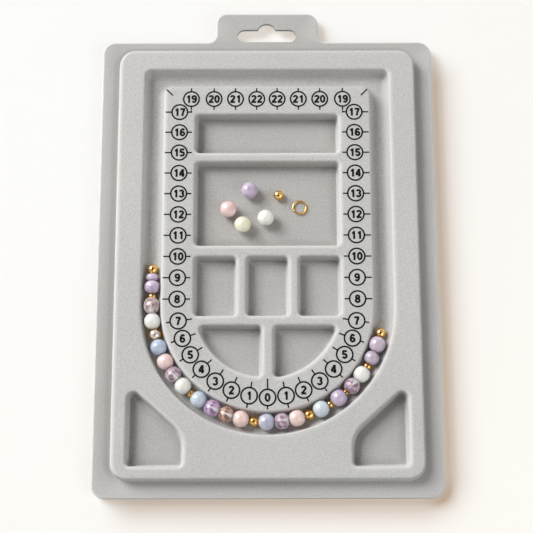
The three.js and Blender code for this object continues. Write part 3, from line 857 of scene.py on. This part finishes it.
# crystal looks: the reach of the painted rim light, the painted glints and the painted pale wedge along the
# bore
crystalLook = {
    "rim": (0.36, 0.62), "paintedGlint": (0.6, 0.64), "streak": (0.2, 1.0), "streakWide": (0.015, 0.46),
    "streakFrom": (-0.3, 0.85), "streakShare": 1.0, "white": paint(255, 253, 253), "glass": 0.24,
    "rough": (0.04, 0.09), "soft": 1.0, "softRadius": (1.0, 1.0, 1.0), "softReach": 6.0, "bend": 1.6,
}
goldLook = {
    "deep": paint(236, 178, 92), "bright": paint(252, 214, 142), "clouds": 900.0, "rough": (0.09, 0.18),
}
silverLook = {
    "deep": paint(202, 191, 188), "bright": paint(240, 232, 230), "clouds": 500.0, "rough": (0.06, 0.16),
    "metal": (0.55, 1.0), "bezelFrom": 0.74, "bezelSoft": 0.08,
}


def softFills(look):
    return {"Subsurface Weight": look["soft"], "Subsurface Radius": look["softRadius"],
            "Subsurface Scale": look["softReach"] * mm, "IOR": look["bend"]}


def stoneMaterial(slot):
    look = stoneLook
    body, cloud = stoneColours[slot]
    material, _, surface, place = newMaterial("stone_" + slot)
    milky = useGroup(milkyClouds, place, {"Body": paint(*body), "Cloud": paint(*cloud)})
    fillAll(surface, {
        "Base Color": milky["Color"], "Roughness": spread(milky["Value"], *look["rough"]),
        "Specular IOR Level": look["gloss"], **softFills(look)})
    return material


# clear glass with painted light: facets are painted dark and pale at random as painted reflections, the
# outline gets a painted rim light with painted white glints, and a painted pale wedge along the bore stands
# in for light seen through it
def crystalMaterial(slot):
    look = crystalLook
    dark, pale, rim = (paint(*c) for c in crystalColours[slot])
    material, tree, surface, _ = newMaterial("cut_" + slot)
    facing = addNode(tree, "ShaderNodeLayerWeight").outputs["Facing"]
    facet = painted(tree, "facet")
    # painted rim light, with painted white glints on some facets
    edge = mixColor(spread(facet, 0.0, 1.0, *look["paintedGlint"]), rim, look["white"])
    tint = mixColor(spread(facing, 0.0, 1.0, *look["rim"]), mixColor(facet, dark, pale), edge)
    # painted pale wedge along the bore
    spot = parts(painted(tree, "cut", "Vector"))
    aside = mathNode("MINIMUM", *(mathNode("ABSOLUTE", spot[axis]) for axis in "XZ"))
    wide = spread(spot["Y"], *look["streakWide"], *look["streakFrom"])
    streak = spread(mathNode("DIVIDE", aside, wide), look["streakShare"], 0.0, *look["streak"], "SMOOTHSTEP")
    fillAll(surface, {
        "Base Color": mixColor(streak, tint, look["white"]), "Roughness": spread(facet, *look["rough"]),
        "Transmission Weight": look["glass"], **softFills(look)})
    return material


def metalClouds(place, look):
    values = {"Body": look["deep"], "Cloud": look["bright"], "Clouds per metre": look["clouds"]}
    return useGroup(milkyClouds, place, values)


def goldMaterial():
    look = goldLook
    material, _, surface, place = newMaterial("polishedGold")
    grain = metalClouds(place, look)
    fillAll(surface, {
        "Base Color": grain["Color"], "Roughness": spread(grain["Value"], *look["rough"]), "Metallic": 1.0})
    return material


# silver glass in a gold bezel: the bezel is painted in by the attribute of that name
def bezelMaterial():
    look = silverLook
    material, tree, surface, place = newMaterial("silverInGold")
    silver = metalClouds(place, look)
    bezel = painted(tree, "bezel")
    gold = mixColor(silver["Value"], goldLook["deep"], goldLook["bright"])
    fillAll(surface, {
        "Base Color": mixColor(bezel, silver["Color"], gold), "Metallic": spread(bezel, *look["metal"]),
        "Roughness": spread(silver["Value"], *look["rough"])})
    return material


finishes = {slot: stoneMaterial(slot) for slot in stoneColours}
finishes.update({slot: crystalMaterial(slot) for slot in crystalColours})
finishes["gold"] = goldMaterial()
finishes["crystal_silver"] = bezelMaterial()
print("finishes made,", len(finishes))

# bead sizes in millimetres: across the bore and along it, and how squarely the side is turned;
# each takes up the hair of room that its solid keeps from the next one
beads = {
    "bore": 0.6, "standingBore": 0.3, "around": 56, "rows": 36,
    "kinds": {
        "round": (7.5, 7.12, 1.0), "medium": (7.0, 5.95, 0.95), "small": (5.6, 3.3, 0.8),
        "silver": (5.85, 5.05, 1.0), "ball": (4.6, 4.45, 1.0), "cutBead": (7.4, 6.35, 0.0),
        "cutBall": (7.5, 7.12, 0.0), "spacer": (4.05, 2.25, 0.6), "thin": (3.6, 1.35, 0.5),
        "loose": (7.6, 7.2, 1.0),
    },
    # rings of a cut crystal, as shares of its reach and half length, and whether each is staggered
    "cutRings": ((0.46, -1.0, 0), (0.76, -0.74, 1), (0.95, -0.36, 0), (1.0, 0.0, 1), (0.95, 0.36, 0),
                 (0.76, 0.74, 1), (0.46, 1.0, 0)),
    "facets": 12, "facetSeed": 11, "glint": (-0.33, 0.11, 0.94), "glintSteps": 24,
    "upright": ("loose_bead_lilac", "loose_gold_ball"), "swapped": ("bead05_crystal_peach",),
    # each piece's kind; its finish is the longest finish name within the piece's own name
    "pieces": {
        "bead01_gold_ball": "ball", "bead02_lilac_small": "small", "bead03_lilac": "medium",
        "spacer04_gold": "spacer", "bead05_crystal_peach": "cutBall", "bead06_white": "round",
        "bead07_crystal_silver": "silver", "bead08_blue": "round", "bead09_pink": "round",
        "bead10_crystal_lilac": "cutBead", "bead11_pearl": "round", "spacer12_gold": "spacer",
        "bead13_blue_light": "round", "bead14_crystal_purple": "cutBall", "bead15_crystal_rose": "cutBead",
        "bead16_peach": "round", "bead17_gold_ball": "ball", "bead18_periwinkle": "round",
        "bead19_crystal_lilac": "cutBead", "bead20_peach": "round", "bead21_gold_ball": "ball",
        "bead22_blue_pale": "round", "spacer23_gold": "spacer", "bead24_lilac": "round",
        "spacer25_gold_thin": "thin", "bead26_crystal_lilac": "cutBead", "bead27_white": "round",
        "spacer28_gold": "spacer", "bead29_lilac_grey": "medium", "bead30_lilac_rose": "round",
        "bead31_gold_ball": "ball", "loose_bead_lilac": "loose", "loose_bead_pink": "loose",
        "loose_bead_cream": "loose", "loose_bead_white": "loose", "loose_gold_ball": "ball",
    },
}


# a turned bead with its bore along Y: a sheet is wrapped round into the outside, another lines the bore
def beadTree():
    tree, given, made = newGroup(
        "turnedBead", "GeometryNodeTree",
        [("Across", "Float", 0.007), ("Along", "Float", 0.007), ("Bore", "Float", 0.0006),
         ("Squareness", "Float", 1.0), ("Around", "Int", 48), ("Rows", "Int", 24),
         ("Material", "Material", None)],
        [("Geometry", "Geometry")],
    )
    bore = given["Bore"]
    spot = parts(addNode(tree, "GeometryNodeInputPosition"))
    turn = times(spot["X"], 2 * pi)
    swing = times(spot["Y"], pi)
    belly = mathNode("SUBTRACT", times(given["Across"], 0.5), bore)
    lean = mathNode("MAXIMUM", mathNode("COSINE", swing), 0.0)
    full = mathNode("POWER", lean, given["Squareness"])
    outside = mathNode("ADD", bore, times(belly, full))
    rise = times(mathNode("SINE", swing), times(given["Along"], 0.5))
    straight = times(spot["Y"], given["Along"])
    join = addNode(tree, "GeometryNodeJoinGeometry")
    for radius, along, rows, inwards in ((outside, rise, given["Rows"], False), (bore, straight, 2, True)):
        sheet = gridNode(tree, 1.0, 1.0, mathNode("ADD", given["Around"], 1), rows)
        aside, above = (times(radius, mathNode(wave, turn)) for wave in ("SINE", "COSINE"))
        wrapped = vectorNode(tree, aside, along, above)
        side = addNode(tree, "GeometryNodeSetPosition", {"Geometry": sheet, "Position": wrapped})
        if inwards:
            side = addNode(tree, "GeometryNodeFlipFaces", {"Mesh": side})
        fill(join.inputs[0], side)
    endTree(addNode(tree, "GeometryNodeSetShadeSmooth", {"Geometry": weld(tree, join)}), given, made)
    return tree


# a cut crystal: staggered rings of corners joined by flat triangles, tables at both ends
def cutMesh(across, along):
    reach, half, bore, count = across / 2, along / 2, beads["bore"], beads["facets"]
    levels = beads["cutRings"]
    work = bmesh.new()

    def ring(radius, height, stagger):
        turns = [2 * pi * (i + stagger / 2) / count for i in range(count)]
        return [work.verts.new((radius * sin(a), height, radius * cos(a))) for a in turns]
    rings = [ring(reach * wide, half * high, stagger) for wide, high, stagger in levels]
    for level, low, high in zip(levels, rings, rings[1:]):
        for i in range(count):
            j = (i + 1) % count
            if level[2]:
                work.faces.new((low[i], high[j], high[i]))
                work.faces.new((low[i], low[j], high[j]))
            else:
                work.faces.new((low[i], low[j], high[i]))
                work.faces.new((low[j], high[j], high[i]))
    ends = [ring(bore, -half, 0), ring(bore, half, 0)]
    for inner, outer in ((ends[0], rings[0]), (rings[-1], ends[1]), (ends[1], ends[0])):
        for i in range(count):
            j = (i + 1) % count
            work.faces.new((inner[i], inner[j], outer[j], outer[i]))
    bmesh.ops.recalc_face_normals(work, faces=work.faces)
    mesh = meshFrom(work, "cutCrystal")
    mesh.transform(Matrix.Scale(mm, 4))
    shine = random.Random(beads["facetSeed"])
    layer = mesh.attributes.new("facet", "FLOAT", "FACE")
    layer.data.foreach_set("value", [shine.random() for _ in mesh.polygons])
    return mesh


# how far a bead's bore is turned to lie along the row
def rowTurn(middle):
    if middle.y > islandMiddle * mm:
        return 0.0
    return atan2(middle.x, islandMiddle * mm - middle.y) - pi / 2


# a crystal is turned on its bore until one of its facets catches the key lamp
def glintTurn(mesh, heading):
    glint = Matrix.Rotation(-heading, 3, "Z") @ Vector(beads["glint"])
    turns = [2 * pi / beads["facets"] * k / beads["glintSteps"] for k in range(beads["glintSteps"])]

    def miss(turn):
        local = Matrix.Rotation(-turn, 3, "Y") @ glint
        return -max(local.dot(face.normal) for face in mesh.polygons)
    return min(turns, key=miss)


# where a point lies in the cut, for the wedge along the bore; way is the end that the wedge opens to
def markCut(mesh, reach, way):
    layer = mesh.attributes.new("cut", "FLOAT_VECTOR", "POINT")
    for vertex, mark in zip(mesh.vertices, layer.data):
        mark.vector = vertex.co * (way / reach)


def paintBezel(mesh, reach):
    layer = mesh.attributes.new("bezel", "FLOAT", "POINT")
    for vertex, mark in zip(mesh.vertices, layer.data):
        below = silverLook["bezelFrom"] - abs(vertex.co.z) / reach
        mark.value = min(1.0, max(0.0, below / silverLook["bezelSoft"]))


def addPiece(name, mesh, node):
    piece = addObject(name, mesh)
    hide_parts(node)
    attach(piece, node + "_body")


def buildBeads():
    tree = beadTree()
    for node, kind in beads["pieces"].items():
        slot = max((name for name in finishes if name in node), key=len)
        across, along, square = beads["kinds"][kind]
        low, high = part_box(node)
        middle = (low + high) / 2
        upright = node in beads["upright"]
        if kind.startswith("cut"):
            mesh = cutMesh(across, along)
            mesh.materials.append(finishes[slot])
            swapped = node in beads["swapped"]
            if swapped:
                mesh.transform(Matrix.Rotation(pi, 4, "Z"))
            mesh.transform(Matrix.Rotation(glintTurn(mesh, rowTurn(middle)), 4, "Y"))
            markCut(mesh, across / 2 * mm, -1 if swapped else 1)
        else:
            bore = beads["standingBore" if upright else "bore"]
            mesh = runTree(tree, bpy.data.meshes.new("blank"), {
                "Across": across * mm, "Along": along * mm, "Bore": bore * mm, "Squareness": square,
                "Around": beads["around"], "Rows": beads["rows"], "Material": finishes[slot],
            })
        if slot == "crystal_silver":
            paintBezel(mesh, across / 2 * mm)
        if upright:
            mesh.transform(Matrix.Rotation(pi / 2, 4, "X"))
        elif not node.startswith("loose"):
            mesh.transform(Matrix.Rotation(rowTurn(middle), 4, "Z"))
        height = along if upright else across
        mesh.transform(Matrix.Translation((middle.x, middle.y, high.z - height / 2 * mm)))
        mesh.name = node + "_look"
        addPiece(node + "_look", mesh, node)
    print("beads turned,", len(beads["pieces"]))


# the jump ring is wire bent round until its ends meet, with the cut left open by a hair
jumpRing = {"across": 6.9, "wire": 0.86, "cutAt": 205.0, "gap": 0.12, "around": 96, "sides": 20}


def buildRing():
    look = jumpRing
    thick, steps, count = look["wire"] / 2, look["around"], look["sides"]
    low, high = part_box("loose_jump_ring")
    middle = (low + high) / 2
    middle.z = low.z + thick * mm
    bend = look["across"] / 2 - thick
    gapTurn = look["gap"] / bend
    start = radians(look["cutAt"]) + gapTurn / 2
    work = bmesh.new()
    loops = []
    for k in range(steps + 1):
        angle = start + (2 * pi - gapTurn) * k / steps
        loop = []
        for i in range(count):
            roll = 2 * pi * i / count
            reach = bend + thick * cos(roll)
            spot = (reach * cos(angle), reach * sin(angle), thick * sin(roll))
            loop.append(work.verts.new(Vector(spot) * mm + middle))
        loops.append(loop)
    for first, second in zip(loops, loops[1:]):
        for i in range(count):
            j = (i + 1) % count
            work.faces.new((first[i], second[i], second[j], first[j])).smooth = True
    work.faces.new(loops[0])
    work.faces.new(loops[-1])
    bmesh.ops.recalc_face_normals(work, faces=work.faces)
    mesh = meshFrom(work, "jumpRingWire")
    mesh.materials.append(finishes["gold"])
    addPiece("jumpRingWire", mesh, "loose_jump_ring")
    print("jump ring bent")


buildBeads()
buildRing()


# floor, light and camera; the drop, painted shadow, painted light under the slot, eye and aim are in
# millimetres, the rest in metres
studio = {
    "floorSize": 30.0, "floorCells": 8, "floorDrop": 0.2, "floor": paint(191, 201, 209),
    "floorPale": paint(226, 222, 215), "floorSpeck": 0.03, "floorGrains": 60.0, "floorRough": 0.9,
    # shadeGlow is the floor's glow inside the painted shadow, slotGlow the painted light added under the hang
    # slot
    "floorGloss": 0.1, "floorGlow": (0.461, 0.385, 0.302, 1), "shadeGlow": (0.268, 0.147, 0.044, 1),
    "slotGlow": (0.19, 0.2, 0.21, 1), "farGlow": (0.9, 0.875, 0.84, 1), "farFrom": (0.55, 2.6),
    "evenOver": 0.12, "evenAcross": (0.937, 1.063), "evenBack": (1.062, 0.938),
    "shadeRise": (-3.5, 4.8), "shadeFall": (5.6, 21.5), "shadeTail": 2.1, "shadeStart": (2.0, 20.0),
    "shadeCorner": 12.0, "slotSoft": 0.8, "slotAside": 1.0, "slotAhead": 5.0,
    "lamps": {
        "key": {"from": (-0.60, 0.40, 0.69), "away": 2.0, "size": 1.0, "power": 31.8},
        "low": {"from": (-0.76, 0.565, 0.325), "away": 2.2, "size": 1.3, "power": 17.6},
        "fill": {"from": (0.68, -0.40, 0.61), "away": 2.4, "size": 1.6, "power": 14.7},
    },
    "sky": ((0.0, (0.805, 0.792, 0.775, 1)), (0.5, (0.31, 0.305, 0.298, 1)), (1.0, (0.03, 0.03, 0.029, 1))),
    "shine": ((0.0, (0.98, 0.97, 0.95, 1)), (0.72, (0.68, 0.66, 0.63, 1)), (1.0, (0.02, 0.018, 0.016, 1))),
    "eye": (-0.36, -144.39, 574.54), "aim": (-0.36, -11.62, 11.3), "roll": -0.114, "lens": 85.54,
    "sensor": 36.0, "clip": (0.01, 200.0),
}


# a painted shadow on the floor to the right of the board and before it: the floor's glow is turned down there
def floorShade(x, y):
    corner = studio["shadeCorner"] * mm
    past = []
    for way, edge in ((x, tray["width"] / 2 * mm), (times(y, -1.0), -frontEdge * mm)):
        beyond = mathNode("MAXIMUM", mathNode("SUBTRACT", way, edge - corner), 0.0)
        past.append(mathNode("POWER", beyond, 2.0))
    reach = mathNode("SUBTRACT", mathNode("SQRT", mathNode("ADD", *past)), corner)
    rise, fall, start = ([v * mm for v in studio[k]] for k in ("shadeRise", "shadeFall", "shadeStart"))
    left, back = -tray["width"] / 2 * mm, backEdge * mm
    shade = spread(reach, 0.0, 1.0, *rise)
    for share in (mathNode("POWER", spread(reach, 1.0, 0.0, *fall), studio["shadeTail"]),
                  spread(x, 0.0, 1.0, left + start[0], left + start[1], "SMOOTHSTEP"),
                  spread(y, 1.0, 0.0, back - start[1], back - start[0], "SMOOTHSTEP")):
        shade = times(shade, share)
    return shade


# a painted pool of light on the floor under the hang slot
def slotPatch(x, y):
    soft, back = studio["slotSoft"] * mm, backEdge * mm
    half = (tray["slotWidth"] / 2 + studio["slotAside"]) * mm
    top = back + (tray["slotHeight"] + studio["slotAhead"]) * mm
    patch = spread(mathNode("ABSOLUTE", x), 1.0, 0.0, half - soft, half + soft, "SMOOTHSTEP")
    patch = times(patch, spread(y, 0.0, 1.0, back, back + 2 * soft, "SMOOTHSTEP"))
    return times(patch, spread(y, 1.0, 0.0, top - soft, top + soft, "SMOOTHSTEP"))


# 1 for what the camera sees itself, in a shiny surface or through glass
def seenRays(tree):
    path = addNode(tree, "ShaderNodeLightPath").outputs
    seen = mathNode("ADD", path["Is Camera Ray"], path["Is Glossy Ray"])
    return mathNode("MINIMUM", mathNode("ADD", seen, path["Is Transmission Ray"]), 1.0)


def floorMaterial():
    look = studio
    material, tree, surface, place = newMaterial("paleFloor")
    grain = useGroup(fineGrain, place, {"Grains per metre": look["floorGrains"]})
    tone = mixColor(spread(grain["Value"], 0.0, look["floorSpeck"]), look["floor"], look["floorPale"])
    spot = parts(place)
    x, y = spot["X"], spot["Y"]
    # painted shadow beside and before the board, and painted light under the hang slot
    glow = mixColor(floorShade(x, y), look["floorGlow"], look["shadeGlow"])
    glow = mixColor(slotPatch(x, y), glow, look["slotGlow"], "ADD")
    away = addNode(tree, "ShaderNodeVectorMath", {0: place}, operation="LENGTH").outputs["Value"]
    far = spread(away, 0.0, 1.0, *look["farFrom"], "SMOOTHSTEP")
    reach = (-look["evenOver"], look["evenOver"])
    even = times(spread(x, *look["evenAcross"], *reach), spread(y, *look["evenBack"], *reach))
    fillAll(surface, {
        "Base Color": tone, "Roughness": look["floorRough"], "Specular IOR Level": look["floorGloss"],
        "Emission Color": mixColor(far, glow, look["farGlow"]),
        "Emission Strength": times(seenRays(tree), even)})
    return material


def buildFloor():
    work = bmesh.new()
    cells = studio["floorCells"]
    bmesh.ops.create_grid(work, x_segments=cells, y_segments=cells, size=studio["floorSize"] / 2)
    mesh = meshFrom(work, "floor")
    mesh.transform(Matrix.Translation((0, 0, -studio["floorDrop"] * mm)))
    mesh.materials.append(floorMaterial())
    addObject("floor", mesh)


def buildLight():
    for label, look in studio["lamps"].items():
        towards = Vector(look["from"]).normalized()
        lamp = bpy.data.lights.new(label, "AREA")
        lamp.shape = "SQUARE"
        lamp.size = look["size"]
        lamp.energy = look["power"]
        holder = addObject(label, lamp)
        holder.location = towards * look["away"]
        holder.rotation_euler = towards.to_track_quat("Z", "Y").to_euler()
    world = bpy.data.worlds.new("softSky")
    scene.world = world
    world.use_nodes = True
    tree = world.node_tree
    tree.nodes.clear()
    way = addNode(tree, "ShaderNodeTexCoord").outputs["Generated"]
    height = parts(way)["Z"]
    ramps = []
    for low, middle, high in (studio["sky"], studio["shine"]):
        ramp = addNode(tree, "ShaderNodeValToRGB", {"Fac": height})
        ramp.color_ramp.elements[0].color = low[1]
        ramp.color_ramp.elements[1].color = high[1]
        ramp.color_ramp.elements.new(middle[0]).color = middle[1]
        ramps.append(ramp.outputs["Color"])
    sky = addNode(tree, "ShaderNodeBackground", {"Color": mixColor(seenRays(tree), *ramps)})
    addNode(tree, "ShaderNodeOutputWorld", {"Surface": sky})


def buildCamera():
    eye = Vector(studio["eye"]) * mm
    ahead = (Vector(studio["aim"]) * mm - eye).normalized()
    right = ahead.cross(Vector((0, 0, 1))).normalized()
    up = right.cross(ahead)
    roll = radians(studio["roll"])
    tiltRight = right * cos(roll) + up * sin(roll)
    tiltUp = up * cos(roll) - right * sin(roll)
    turned = Matrix((tiltRight, tiltUp, -ahead)).transposed().to_4x4()
    lens = bpy.data.cameras.new("photoCamera")
    lens.lens = studio["lens"]
    lens.sensor_width = studio["sensor"]
    lens.clip_start, lens.clip_end = studio["clip"]
    camera = addObject("photoCamera", lens)
    camera.matrix_world = Matrix.Translation(eye) @ turned
    scene.camera = camera


buildFloor()
buildLight()
buildCamera()
print("studio set")
